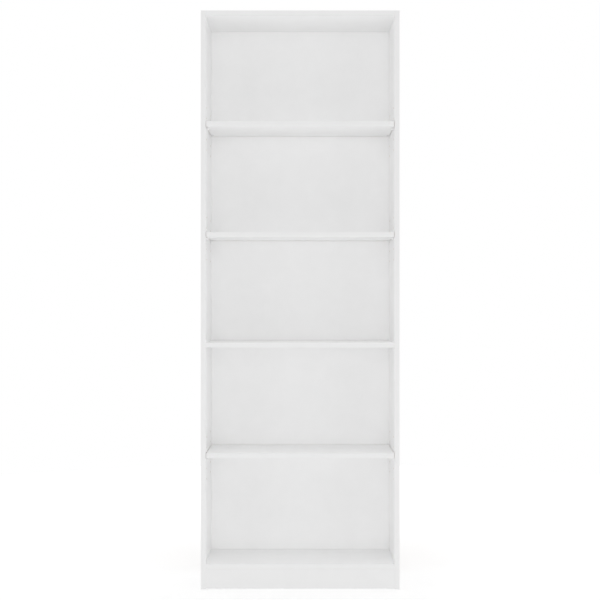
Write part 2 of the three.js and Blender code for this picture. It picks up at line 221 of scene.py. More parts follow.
SCREW_DOME_TOP = 0.4  # of the head's radius
SCREW_POINT_FULLNESS = 0.7  # below 1 for a point blunter than a cone
SCREW_THREAD_END = 0.5 * MM  # below the panel's face
SCREW_CROSS = 2 * MM
SCREW_CROSS_DEPTH = 1.5 * MM
SCREW_SEGMENTS = 36

# Meshes
THREAD_STEPS = 12  # for each turn
CROSS_ARM = 0.24  # half the width of an arm, as a share of its length
CROSS_TAPER = ((0.3, 1.12), (-1, 0.55))  # levels as shares of the depth, and sizes of the mouth
SMOOTH_UP_TO = math.radians(20)
SOFTEN_ABOVE = math.radians(35)

# Camera
CAMERA_DISTANCE = 3.716  # from the front plane
CAMERA_HEIGHT = 0.861
CAMERA_LENS = 73.87
CAMERA_SENSOR = 36
CAMERA_SHIFT = (-0.0003, 0.0083)

# Light
AMBIENT = 0.868
OVERHEAD_STRENGTH = 0.06
OVERHEAD_ANGLE = math.radians(150)
OVERHEAD_PLACE = (0, 0, 4)
SHEET_POWER = 0.43  # W for each m2, like the next two powers
SHEET_SPREAD = math.radians(180)
UPRIGHT_POWER = 1.75
LEVEL_POWER = 0.98
STRIP_SPREAD = math.radians(56)
STRIP_WIDTH = 20 * MM
STRIP_INSET = 12 * MM  # from the board beside it to its middle
LAMP_INSET = 1 * MM  # behind the front edges
BOUNCES = 16  # light turns many corners between white boards
FLOOR_RADIUS = 2.8
FLOOR_GLOW = (0.5, 0.58)  # a table lit from below, brighter away from the bookcase
FLOOR_GLOW_REACH = (0.4, 1.3)  # from the middle, where the first ends and the second is full
FLOOR_LIFT = 0.045  # more glow in what the camera sees, none in the light that it gives

sides = {"left": -1, "right": 1}
rows = ("front", "rear")
loose_shelves = (1, 2, 4)
locked_panels = {"top": "top_panel", "shelf": "shelf_3_fixed", "bottom": "bottom_panel"}
boards_upwards = ("bottom_panel", "shelf_4", "shelf_3_fixed", "shelf_2", "shelf_1", "top_panel")
dowel_rows = ("top", "bottom", "plinth_upper", "plinth_lower")
body_of = {
    node: body for body, nodes in frame["record"]["behaviour"]["bodies"].items() for node in nodes
}


# Materials


class Graph:
    """The node tree of one material, with short ways to add a node and join it to others."""

    def __init__(self, name, **values):
        self.material = bpy.data.materials.new(name)
        self.material.use_nodes = True
        self.tree = self.material.node_tree
        self.shader = self.tree.nodes["Principled BSDF"]
        for socket, value in values.items():
            self.shader.inputs[socket.replace("_", " ")].default_value = value
        self.where = self.node("TexCoord").outputs["Object"]

    def node(self, kind, inputs=None, **settings):
        made = self.tree.nodes.new(f"ShaderNode{kind}")
        for name, value in settings.items():
            setattr(made, name, value)
        for name, value in (inputs or {}).items():
            socket = made.inputs[name]
            if isinstance(value, bpy.types.NodeSocket):
                self.tree.links.new(value, socket)
            else:
                socket.default_value = value
        return made

    def stretched(self, scale):
        """Object coordinates multiplied by a number for each axis."""
        return self.node("Mapping", {"Vector": self.where, "Scale": scale}).outputs["Vector"]

    def noise(self, scale, detail=2.0, roughness=0.5, where=None):
        inputs = {
            "Vector": where or self.where,
            "Scale": scale,
            "Detail": detail,
            "Roughness": roughness,
        }
        return self.node("TexNoise", inputs).outputs["Fac"]

    def cells(self, output, where):
        return self.node("TexVoronoi", {"Vector": where, "Scale": 1}).outputs[output]

    def maths(self, operation, *values):
        return self.node("Math", dict(enumerate(values)), operation=operation).outputs[0]

    def spread(self, value, low, high, from_low=0.3, from_high=0.7):
        """A value that varies between two limits with a pattern."""
        inputs = {
            "Value": value,
            "From Min": from_low,
            "From Max": from_high,
            "To Min": low,
            "To Max": high,
        }
        return self.node("MapRange", inputs).outputs["Result"]

    def ramp(self, value, stops):
        made = self.node("ValToRGB", {"Fac": value})
        elements = made.color_ramp.elements
        while len(elements) < len(stops):
            elements.new(0.5)
        for element, (position, colour) in zip(elements, stops):
            element.position = position
            element.color = (*colour, 1)
        return made.outputs["Color"]

    def bump(self, height, distance, under=None):
        inputs = {"Height": height, "Distance": distance, "Strength": 1}
        if under is not None:
            inputs["Normal"] = under
        return self.node("Bump", inputs).outputs["Normal"]

    def finish(self, **links):
        for socket, value in links.items():
            self.tree.links.new(value, self.shader.inputs[socket.replace("_", " ")])
        return self.material


def grey(level):
    return (level, level, level)


def make_facing(name, level, roughness, peel):
    """Melamine paper or paint: even, with a faint mottle, a slow waviness and a fine peel."""
    graph = Graph(name, IOR=1.5)
    mottle = graph.noise(18, detail=4, roughness=0.6)
    colour = graph.ramp(mottle, [(0.25, grey(level * 0.985)), (0.75, grey(level * 1.01))])
    sheen = graph.spread(graph.noise(45, detail=3), roughness - 0.04, roughness + 0.05)
    waves = graph.bump(graph.noise(30, detail=1), 0.02 * MM)
    normal = graph.bump(graph.noise(850, detail=2), peel, under=waves)
    return graph.finish(Base_Color=colour, Roughness=sheen, Normal=normal)


def make_chipboard(name, thin_axis):
    """The sawn core: flat chips that lie in the plane of the board, between fine dust."""
    graph = Graph(name, IOR=1.4)
    scale = [430, 430, 430]
    scale[thin_axis] = 1100
    chips = graph.stretched(scale)
    shade = graph.cells("Color", chips)
    chip = graph.node("SeparateColor", {"Color": shade}).outputs["Red"]
    dust = graph.noise(1500, detail=4, roughness=0.7)
    value = graph.maths("MULTIPLY_ADD", chip, 0.55, graph.spread(dust, 0.0, 0.45))
    colour = graph.ramp(
        value,
        [
            (0.05, (0.3, 0.19, 0.1)),
            (0.35, (0.47, 0.32, 0.19)),
            (0.65, (0.57, 0.41, 0.26)),
            (0.95, (0.68, 0.53, 0.37)),
        ],
    )
    height = graph.cells("Distance", chips)
    normal = graph.bump(dust, 0.05 * MM, under=graph.bump(height, 0.15 * MM))
    roughness = graph.spread(value, 0.75, 0.95, 0, 1)
    return graph.finish(Base_Color=colour, Roughness=roughness, Normal=normal)


def make_hardboard():
    """The unpainted reverse of the back, brown, with the print of the wire screen it was pressed on."""
    graph = Graph("hardboard_reverse", IOR=1.4)
    fibres = graph.noise(120, detail=6, roughness=0.65)
    colour = graph.ramp(fibres, [(0.3, (0.17, 0.095, 0.05)), (0.7, (0.29, 0.18, 0.1))])
    wires = [
        graph.node(
            "TexWave", {"Vector": graph.where, "Scale": 205, "Distortion": 0.4}, bands_direction=axis
        ).outputs["Fac"]
        for axis in ("X", "Z")
    ]
    screen = graph.maths("MULTIPLY", *wires)
    normal = graph.bump(fibres, 0.05 * MM, under=graph.bump(screen, 0.12 * MM))
    roughness = graph.spread(fibres, 0.7, 0.88)
    return graph.finish(Base_Color=colour, Roughness=roughness, Normal=normal)


def make_metal(name, colour, roughness, grain, depth):
    """A metal with slow changes of tone and a fine cast or plated grain."""
    graph = Graph(name, Metallic=1.0)
    tone = graph.noise(220, detail=4, roughness=0.6)
    darker = tuple(0.82 * part for part in colour)
    tint = graph.ramp(tone, [(0.3, darker), (0.7, colour)])
    sheen = graph.spread(graph.noise(700, detail=3), roughness - 0.07, roughness + 0.09)
    normal = graph.bump(graph.noise(grain, detail=3), depth)
    return graph.finish(Base_Color=tint, Roughness=sheen, Normal=normal)


def make_plastic(name, level, roughness):
    """Moulded plastic, with slight flow marks and a fine spark-eroded texture."""
    graph = Graph(name, IOR=1.5)
    flow = graph.noise(1, detail=3, where=graph.stretched((90, 260, 260)))
    colour = graph.ramp(flow, [(0.3, grey(level * 0.96)), (0.7, grey(level))])
    sheen = graph.spread(flow, roughness - 0.05, roughness + 0.07)
    normal = graph.bump(graph.noise(3500, detail=2), 0.01 * MM)
    return graph.finish(Base_Color=colour, Roughness=sheen, Normal=normal)


def make_beech():
    """Beech with its grain along X, growth rings and short dark flecks."""
    graph = Graph("beech", IOR=1.45)
    rings = graph.noise(1, detail=3, where=graph.stretched((30, 900, 900)))
    flecks = graph.cells("Distance", graph.stretched((260, 1600, 1600)))
    base = graph.ramp(rings, [(0.3, (0.5, 0.31, 0.16)), (0.7, (0.68, 0.47, 0.27))])
    dark = graph.spread(flecks, 1.0, 0.0, 0.05, 0.2)
    inputs = {0: dark, 6: base, 7: (0.33, 0.19, 0.09, 1)}
    colour = graph.node("Mix", inputs, data_type="RGBA").outputs[2]
    normal = graph.bump(rings, 0.04 * MM)
    roughness = graph.spread(rings, 0.55, 0.75)
    return graph.finish(Base_Color=colour, Roughness=roughness, Normal=normal)


def make_coated_steel():
    """Powder-coated steel, with the orange peel of the coat."""
    graph = Graph("coated_steel", IOR=1.5, Coat_Weight=0.15)
    tone = graph.noise(90, detail=3)
    colour = graph.ramp(tone, [(0.3, grey(0.74)), (0.7, grey(0.77))])
    sheen = graph.spread(tone, 0.32, 0.42)
    normal = graph.bump(graph.noise(900, detail=2), 0.05 * MM)
    return graph.finish(Base_Color=colour, Roughness=sheen, Normal=normal)


WHITE = 0.88
melamine = make_facing("melamine", WHITE, 0.42, 0.025 * MM)
edge_band = make_facing("edge_band", WHITE * 1.005, 0.36, 0.012 * MM)
painted_hardboard = make_facing("painted_hardboard", WHITE * 0.995, 0.48, 0.03 * MM)
chipboard = [make_chipboard(f"chipboard_{'xyz'[axis]}", axis) for axis in (X, Y, Z)]
hardboard = make_hardboard()
zinc = make_metal("die_cast_zinc", (0.56, 0.57, 0.58), 0.42, 1500, 0.03 * MM)
steel = make_metal("zinc_plated_steel", (0.66, 0.67, 0.69), 0.28, 2600, 0.01 * MM)
beech = make_beech()
pin_plastic = make_plastic("pin_plastic", 0.8, 0.36)
glide_plastic = make_plastic("glide_plastic", 0.74, 0.45)
coated_steel = make_coated_steel()


# Mesh work


def add_box(bm, low, high):
    """Adds a box and gives back its vertices."""
    low, high = Vector(low), Vector(high)
    size = Matrix.Diagonal((*(high - low), 1))
    matrix = Matrix.Translation((low + high) / 2) @ size
    return bmesh.ops.create_cube(bm, size=1, matrix=matrix)["verts"]


def add_loft(bm, outlines):
    """Adds a closed solid through outlines that have the same number of points."""
    loops = [[bm.verts.new(point) for point in outline] for outline in outlines]
    count = len(loops[0])
    faces = [bm.faces.new(loops[0]), bm.faces.new(loops[-1])]
    for a, b in pairwise(loops):
        faces += [
            bm.faces.new((a[i], a[(i + 1) % count], b[(i + 1) % count], b[i])) for i in range(count)
        ]
    bmesh.ops.recalc_face_normals(bm, faces=faces)
    return [vertex for loop in loops for vertex in loop]


def add_turned(bm, profile, segments=32, radius_at=None, ring=False):
    """Adds a solid turned about the X axis. The profile is a list of (along, radius) that starts
    and ends on the axis, or that closes on itself where ring is set. radius_at changes the radius
    of a point, given its place along, its angle and its plain radius."""
    loops = []
    for along, radius in profile:
        if radius == 0:
            loops.append([bm.verts.new((along, 0, 0))] * segments)
            continue
        loop = []
        for i in range(segments):
            angle = 2 * math.pi * i / segments
            reach = radius_at(along, angle, radius) if radius_at else radius
            loop.append(bm.verts.new((along, reach * math.cos(angle), reach * math.sin(angle))))
        loops.append(loop)
    pairs = list(pairwise(loops))
    if ring:
        pairs.append((loops[-1], loops[0]))
    faces = []
    for a, b in pairs:
        for i in range(segments):
            j = (i + 1) % segments
            corners = dict.fromkeys((a[i], a[j], b[j], b[i]))
            if len(corners) > 2:
                faces.append(bm.faces.new(corners))
    bmesh.ops.recalc_face_normals(bm, faces=faces)
    return list(dict.fromkeys(vertex for loop in loops for vertex in loop))


def aimed(point, direction):
    """The matrix that turns the X axis to a direction and moves the origin to a point."""
    turn = Vector(direction).to_track_quat("X", "Z").to_matrix().to_4x4()
    return Matrix.Translation(point) @ turn


# Turns the Z axis to the X axis
Z_TO_X = Matrix.Rotation(math.pi / 2, 4, "Y")


def moved(bm, vertices, matrix):
    bmesh.ops.transform(bm, matrix=matrix, verts=vertices)
    return vertices


def drill(bm, point, direction, radius, depth, flat=False, segments=32):
    """Adds the cutter of a drilled hole: a flared rim, straight walls and the drill's cone."""
    cone = (FLAT_DRILL_POINT if flat else DRILL_POINT) * radius
    profile = [
        (-OVERCUT, 0),
        (-OVERCUT, radius + HOLE_FLARE),
        (0, radius + HOLE_FLARE),
        (HOLE_FLARE, radius),
        (depth - cone, radius),
        (depth, 0),
    ]
    if flat:
        profile[-1:] = [(depth - cone, cone), (depth, 0)]
    moved(bm, add_turned(bm, profile, segments), aimed(point, direction))


def add_object(name, data):
    obj = bpy.data.objects.new(name, data)
    bpy.context.scene.collection.objects.link(obj)
    return obj


def new_object(name, bm, materials):
    mesh = bpy.data.meshes.new(name)
    bm.to_mesh(mesh)
    bm.free()
    for material in materials:
        mesh.materials.append(material)
    return add_object(name, mesh)


def carve(obj, bm, operation="DIFFERENCE"):
    """Cuts the solids in bm from the object, or joins them to it. Cut faces take its last material."""
    for face in bm.faces:
        face.material_index = len(obj.data.materials) - 1
    cutter = new_object("cutter", bm, obj.data.materials)
    modifier = obj.modifiers.new("carve", "BOOLEAN")
    modifier.object = cutter
    modifier.operation = operation
    modifier.solver = "EXACT"
    modifier.use_self = True
    evaluated = obj.evaluated_get(bpy.context.evaluated_depsgraph_get())
    mesh = bpy.data.meshes.new_from_object(evaluated)
    obj.modifiers.clear()
    spent = [obj.data, cutter.data]
    obj.data = mesh
    bpy.data.objects.remove(cutter)
    for old in spent:
        bpy.data.meshes.remove(old)


def shade(mesh):
    """Smooth shading on round faces, with crisp edges where faces meet at more of an angle."""
    mesh.polygons.foreach_set("use_smooth", [True] * len(mesh.polygons))
    mesh.set_sharp_from_angle(angle=SMOOTH_UP_TO)
    mesh.update()


def stand_for(obj, node):
    """The object stands for a CAD node, whose part is hidden, and rides on its body."""
    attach(obj, body_of[node])
    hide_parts(node)


def install(obj, node):
    """An object with a mesh of its own, already in place."""
    shade(obj.data)
    stand_for(obj, node)


def install_copy(name, mesh, matrix, node):
    """Another object with the same mesh, put in place by a matrix."""
    obj = add_object(name, mesh)
    obj.matrix_world = matrix
    stand_for(obj, node)


def middle(node):
    low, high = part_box(node)
    return (low + high) / 2


def pin_axis(node):
    """The level of a shelf pin's shank."""
    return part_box(node)[1].z - PIN_LEDGE_TOP


def vector(axis, length):
    """A vector along one axis."""
    made = Vector((0, 0, 0))
    made[axis] = length
    return made


# Boards


def make_board(node, skin_axis, banded):
    """A board with facings on both sides of skin_axis and a band on each (axis, sign) edge."""
    low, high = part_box(node)
    bands = []
    for axis, sign in banded:
        band_low, band_high = low.copy(), high.copy()
        if sign < 0:
            low[axis] += BAND_THICKNESS
            band_high[axis] = low[axis]
        else:
            high[axis] -= BAND_THICKNESS
            band_low[axis] = high[axis]
        bands.append(make_band(node, axis, sign, band_low, band_high))
    bm = bmesh.new()
    add_box(bm, low, high)
    bmesh.ops.bevel(bm, geom=bm.edges[:], offset=ARRIS, segments=1, affect="EDGES")
    for face in bm.faces:
        face.normal_update()
        face.material_index = 0 if abs(face.normal[skin_axis]) > 0.5 else 1
    return new_object(f"{node}_board", bm, [melamine, chipboard[skin_axis]]), bands


def make_band(node, axis, sign, low, high):
    """An edge band with its outer edges rounded over."""
    bm = bmesh.new()
    add_box(bm, low, high)
    face_at = high[axis] if sign > 0 else low[axis]
    outer = [
        edge for edge in bm.edges if all(abs(v.co[axis] - face_at) < ARRIS for v in edge.verts)
    ]
    bmesh.ops.bevel(bm, geom=outer, offset=BAND_RADIUS, segments=3, profile=0.5, affect="EDGES")
    place = {(Y, -1): "front_band", (Z, 1): "top_band", (Z, -1): "foot_band"}[axis, sign]
    return new_object(f"{node}_{place}", bm, [edge_band, edge_band])


def install_board(node, board, bands):
    install(board, node)
    for band in bands:
        install(band, node)


def back_groove(bm, low, high):
    """Adds the cutter of the groove that the back panel sits in."""
    back_low, back_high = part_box("back_panel")
    start = (low[X], back_low.y - GROOVE_SPARE, low[Z])
    end = (high[X], back_high.y + GROOVE_SPARE, high[Z])
    add_box(bm, start, end)


def make_side(side_name):
    side = sides[side_name]
    node = f"side_panel_{side_name}"
    board, bands = make_board(node, X, [(Y, -1), (Z, 1), (Z, -1)])
    low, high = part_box(node)
    inner = high.x if side < 0 else low.x
    outward = vector(X, side)

    groove_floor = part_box("back_panel")[0 if side < 0 else 1].x + side * GROOVE_END
    groove = sorted((groove_floor, inner - side * OVERCUT))
    groove_box = (
        (groove[0], 0, low.z - OVERCUT),
        (groove[1], 0, high.z + OVERCUT),
    )
    cutters = bmesh.new()
    back_groove(cutters, *groove_box)
    for row in rows:
        for number in loose_shelves:
            pin = f"shelf_pin_{number}_{side_name}_{row}"
            for step in range(-PIN_HOLES_EACH_WAY, PIN_HOLES_EACH_WAY + 1):
                point = (inner, middle(pin).y, pin_axis(pin) + step * PIN_HOLE_PITCH)
                drill(cutters, point, outward, PIN_HOLE_RADIUS, PIN_HOLE_DEPTH)
        for panel in locked_panels:
            bolt = middle(f"cam_bolt_{panel}_{side_name}_{row}")
            drill(cutters, (inner, bolt.y, bolt.z), outward, PIN_HOLE_RADIUS, BOLT_HOLE_DEPTH)
        nail = middle(f"glide_{side_name}_{row}")
        drill(cutters, (nail.x, nail.y, low.z), (0, 0, 1), NAIL_BORE_RADIUS, NAIL_BORE_DEPTH)
    for row in dowel_rows:
        dowel = middle(f"dowel_{row}_{side_name}")
        drill(cutters, (inner, dowel.y, dowel.z), outward, DOWEL_BORE_RADIUS, DOWEL_IN_SIDE)
    carve(board, cutters)

    for band in bands[1:]:
        cutters = bmesh.new()
        back_groove(cutters, *groove_box)
        for row in rows:
            nail = middle(f"glide_{side_name}_{row}")
            point = (nail.x, nail.y, low.z)
            drill(cutters, point, (0, 0, 1), NAIL_BORE_RADIUS, NAIL_BORE_DEPTH)
        carve(band, cutters)
    install_board(node, board, bands)


def bore_ends(bm, node, point, radius, depth):
    """Adds cutters for a bore in both ends of a board, at the height and depth of a point."""
    low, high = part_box(node)
    drill(bm, (low.x, point.y, point.z), (1, 0, 0), radius, depth)
    drill(bm, (high.x, point.y, point.z), (-1, 0, 0), radius, depth)


def cam_bores(bm, panel, face):
    """Adds cutters for the cams in the upper (1) or lower (-1) face of a panel, and their bolts."""
    node = locked_panels[panel]
    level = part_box(node)[1 if face > 0 else 0].z
    for row in rows:
        for side_name in sides:
            cam = middle(f"cam_lock_{panel}_{side_name}_{row}")
            point = (cam.x, cam.y, level)
            size = (CAM_BORE_RADIUS, CAM_BORE_DEPTH)
            drill(bm, point, (0, 0, -face), *size, flat=True, segments=CAM_BORE_SEGMENTS)
        bolt = middle(f"cam_bolt_{panel}_left_{row}")
        bore_ends(bm, node, bolt, BOLT_BORE_RADIUS, BOLT_BORE_DEPTH)


def make_end_panel(node, panel, cam_face):
    """The top or bottom panel, which holds cams, a dowel at each end and an edge of the back."""
    board, bands = make_board(node, Z, [(Y, -1)])
    low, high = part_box(node)
    cutters = bmesh.new()
    cam_bores(cutters, panel, cam_face)
    bore_ends(cutters, node, middle(f"dowel_{panel}_left"), DOWEL_BORE_RADIUS, DOWEL_IN_PANEL)
    back_low, back_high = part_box("back_panel")
    if panel == "top":
        levels = (low.z - OVERCUT, back_high.z + GROOVE_END)
        screw = middle("bracket_screw")
        drill(cutters, (screw.x, screw.y, high.z), (0, 0, -1), SCREW_BORE_RADIUS, SCREW_BORE_DEPTH)
    else:
        levels = (back_low.z - GROOVE_END, high.z + OVERCUT)
    start = (low.x - OVERCUT, 0, levels[0])
    end = (high.x + OVERCUT, 0, levels[1])
    back_groove(cutters, start, end)
    carve(board, cutters)
    install_board(node, board, bands)


def make_fixed_shelf():
    node = locked_panels["shelf"]
    board, bands = make_board(node, Z, [(Y, -1)])
    cutters = bmesh.new()
    cam_bores(cutters, "shelf", -1)
    carve(board, cutters)
    install_board(node, board, bands)


def make_plinth():
    node = "plinth_board"
    board, bands = make_board(node, Y, [(Z, -1)])
    cutters = bmesh.new()
    for row in ("plinth_upper", "plinth_lower"):
        dowel = middle(f"dowel_{row}_left")
        bore_ends(cutters, node, dowel, DOWEL_BORE_RADIUS, DOWEL_IN_PANEL)
    carve(board, cutters)
    install_board(node, board, bands)


def make_back():
    node = "back_panel"
    bm = bmesh.new()
    add_box(bm, *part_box(node))
    bmesh.ops.bevel(bm, geom=bm.edges[:], offset=ARRIS, segments=1, affect="EDGES")
    for face in bm.faces:
        face.normal_update()
        face.material_index = 0 if face.normal.y < -0.5 else 1
    install(new_object("back_panel_sheet", bm, [painted_hardboard, hardboard]), node)


for side_name in sides:
    make_side(side_name)
make_end_panel("top_panel", "top", 1)
make_end_panel("bottom_panel", "bottom", -1)
make_fixed_shelf()
for number in loose_shelves:
    install_board(f"shelf_{number}", *make_board(f"shelf_{number}", Z, [(Y, -1)]))
make_plinth()
make_back()


# Hardware. What goes into a side panel is drawn for the left-hand one, with the panel's face at X = 0
# and the case towards +X, and is turned about Z for the other side.


def spaced(start, end, step):
    """Numbers from start to end, about one step apart."""
    count = max(1, round((end - start) / step))
    return [start + (end - start) * i / count for i in range(count + 1)]


def threaded(start, end, depth, pitch):
    """The radius_at of a screw thread between two places along a turned solid."""

    def radius_at(along, angle, radius):
        if not start < along < end:
            return radius
        turn = (along / pitch + angle / (2 * math.pi)) % 1
        crest = abs(2 * turn - 1) ** 3
        fade = min(1, (along - start) / pitch, 2 * (end - along) / pitch)
        return radius - depth * fade * (1 - crest)

    return radius_at


def ribbed(start, end, count, height):
    """The radius_at of ribs along a turned solid, whose crests are at the plain radius."""

    def radius_at(along, angle, radius):
        if not start < along < end:
            return radius
        return radius - height * (0.5 - 0.5 * math.cos(count * angle))

    return radius_at


def rounded_outline(points, radii, steps=4):
    """A flat outline with an arc at each corner that has a radius."""
    made = []
    for i, (corner, radius) in enumerate(zip(points, radii)):
        corner = Vector(corner)
        if radius == 0:
            made.append(corner)
            continue
        before = (Vector(points[i - 1]) - corner).normalized()
        after = (Vector(points[(i + 1) % len(points)]) - corner).normalized()
        half = before.angle(after) / 2
        centre = corner + (before + after).normalized() * radius / math.sin(half)
        start = corner + before * radius / math.tan(half) - centre
        sweep = start.angle_signed(corner + after * radius / math.tan(half) - centre)
        made += [centre + Matrix.Rotation(-sweep * k / steps, 2) @ start for k in range(steps + 1)]
    return made


def add_slab(bm, outline, half_width):
    """Adds an outline in the XZ plane with a width along Y."""
    return add_loft(bm, [[(u, y, v) for u, v in outline] for y in (-half_width, half_width)])


def add_cross(bm, matrix, mouth, depth):
    """Adds the cutter of a cross recess, tapered, whose mouth is at Z = 0 of the matrix."""
    outlines = []
    for level, share in CROSS_TAPER:
        arm, width = mouth * share, CROSS_ARM * mouth * share
        corners = [(width, width), (width, arm), (-width, arm)]
        outlines.append(
            [
                matrix @ Matrix.Rotation(turn * math.pi / 2, 4, "Z") @ Vector((x, y, level * depth))
                for turn in range(4)
                for x, y in corners
            ]
        )
    add_loft(bm, outlines)


def soften(bm, vertices, radius, segments=2):
    """Rounds over the sharp edges at these vertices."""
    edges = {edge for vertex in vertices for edge in vertex.link_edges}
    chosen = [edge for edge in edges if edge.calc_face_angle(0) > SOFTEN_ABOVE]
    bmesh.ops.bevel(bm, geom=chosen, offset=radius, segments=segments, profile=0.5, affect="EDGES")


def template(obj):
    """The shaded mesh of an object, which is removed, for copies that share it."""
    shade(obj.data)
    mesh = obj.data
    bpy.data.objects.remove(obj)
    return mesh


def turned_object(name, profile, segments, materials, radius_at=None, upright=False, ring=False):
    bm = bmesh.new()
    vertices = add_turned(bm, profile, segments, radius_at, ring)
    if upright:
        moved(bm, vertices, aimed((0, 0, 0), (0, 0, 1)))
    return new_object(name, bm, materials)


def at_side(side_name, place):
    turn = Matrix.Rotation(0 if sides[side_name] < 0 else math.pi, 4, "Z")
    return Matrix.Translation(place) @ turn


def face_of_side(side_name):
    return sides[side_name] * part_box("top_panel")[1].x


def pin_mesh():
    """A ribbed shank, a flange against the panel and a ledge on a web, moulded in one."""
    inner, outer = PIN_CLEARANCE, PIN_CLEARANCE + PIN_FLANGE_THICKNESS
    under = PIN_LEDGE_TOP - PIN_LEDGE_THICKNESS
    buried = (inner + outer) / 2
    bm = bmesh.new()
    corners = [
        (inner, PIN_FOOT),
        (outer, PIN_FOOT),
        (outer, under),
        (PIN_REACH, under),
        (PIN_REACH, PIN_LEDGE_TOP),
        (inner, PIN_LEDGE_TOP),
    ]
    outline = rounded_outline(corners, PIN_CORNER_RADII)
    soften(bm, add_slab(bm, outline, PIN_WIDTH / 2), PIN_EDGE_RADIUS)
    pin = new_object("pin", bm, [pin_plastic])

    foot, web_end = PIN_FOOT + PIN_WEB_RISE, PIN_REACH - PIN_WEB_INSET
    web = [
        (buried, foot),
        (outer + PIN_WEB_FOOT, foot),
        (web_end, under),
        (web_end, under + PIN_LEDGE_THICKNESS / 2),
        (buried, under + PIN_LEDGE_THICKNESS / 2),
    ]
    outline = rounded_outline(web, [0, PIN_WEB_CORNER_RADIUS, 0, 0, 0])
    bm = bmesh.new()
    soften(bm, add_slab(bm, outline, PIN_WEB_WIDTH / 2), PIN_WEB_EDGE_RADIUS)
    carve(pin, bm, "UNION")

    tip = -PIN_SHANK_LENGTH
    shank = [(tip, 0)]
    shank += [(tip + along, PIN_SHANK_RADIUS - inwards) for along, inwards in PIN_TIP_STEPS]
    shank += [(along, PIN_SHANK_RADIUS) for along in (-2 * PIN_RIB_END, 0, buried)]
    shank.append((buried, 0))
    bm = bmesh.new()
    ribs = ribbed(tip + PIN_TIP / 2, -PIN_RIB_END, PIN_RIBS, PIN_RIB_HEIGHT)
    add_turned(bm, shank, PIN_SEGMENTS, ribs)
    carve(pin, bm, "UNION")
    return template(pin)


def cam_mesh():
    """A die-cast cam about Z: its cross and arrow face +Z, and its slot takes the bolt's neck."""
    top = CAM_FACE
    bottom = top - CAM_HEIGHT
    floor = top - CAM_DISH
    profile = [
        (bottom, 0),
        (bottom, CAM_RADIUS - CAM_RIM),
        (bottom + CAM_RIM, CAM_RADIUS),
        (top - CAM_RIM / 2, CAM_RADIUS),
        (top, CAM_RADIUS - CAM_RIM / 2),
        (top, CAM_RADIUS - CAM_DISH_RIM),
        (floor, CAM_RADIUS - CAM_DISH_RIM - CAM_DISH),
        (floor, 0),
    ]
    cam = turned_object("cam", profile, CAM_SEGMENTS, [zinc], upright=True)

    (tail, wing), (point, blunt) = CAM_ARROW_TAIL, CAM_ARROW_POINT
    arrow = [(point, blunt), (tail, wing), (tail, -wing), (point, -blunt)]
    bm = bmesh.new()
    levels = (top - 2 * CAM_DISH, top - CAM_DISH / 4)
    add_loft(bm, [[(x, y, level) for x, y in arrow] for level in levels])
    carve(cam, bm, "UNION")

    half = CAM_CAVITY_HEIGHT / 2
    cavity = [(-half, 0), (-half, CAM_CAVITY_RADIUS), (half, CAM_CAVITY_RADIUS), (half, 0)]
    bm = bmesh.new()
    moved(bm, add_turned(bm, cavity, CAM_CAVITY_SEGMENTS), aimed((0, 0, 0), (0, 0, 1)))
    carve(cam, bm)

    entry = math.radians(180 - CAM_TURN)
    towards = Vector((math.cos(entry), math.sin(entry), 0))
    start, reach = CAM_CAVITY_RADIUS / 2, CAM_RADIUS + OVERCUT
    hole = [(start, 0), (start, CAM_HEAD_ENTRY_RADIUS), (reach, CAM_HEAD_ENTRY_RADIUS), (reach, 0)]
    bm = bmesh.new()
    moved(bm, add_turned(bm, hole, CAM_HEAD_ENTRY_SEGMENTS), aimed((0, 0, 0), towards))
    carve(cam, bm)

    degrees = spaced(180 - CAM_TURN, 180 + CAM_SLOT_SPARE, CAM_SLOT_STEP)
    sweep = [math.radians(a) for a in degrees]
    sector = [(reach * math.cos(a), reach * math.sin(a)) for a in sweep]
    sector += [(start * math.cos(a), start * math.sin(a)) for a in reversed(sweep)]
    levels = (-CAM_NECK_SLOT / 2, CAM_NECK_SLOT / 2)
    bm = bmesh.new()
    add_loft(bm, [[(x, y, level) for x, y in sector] for level in levels])
    carve(cam, bm)

    bm = bmesh.new()
    add_cross(bm, Matrix.Translation((0, 0, floor)), CAM_CROSS, CAM_CROSS_DEPTH)
    carve(cam, bm)
    return template(cam)


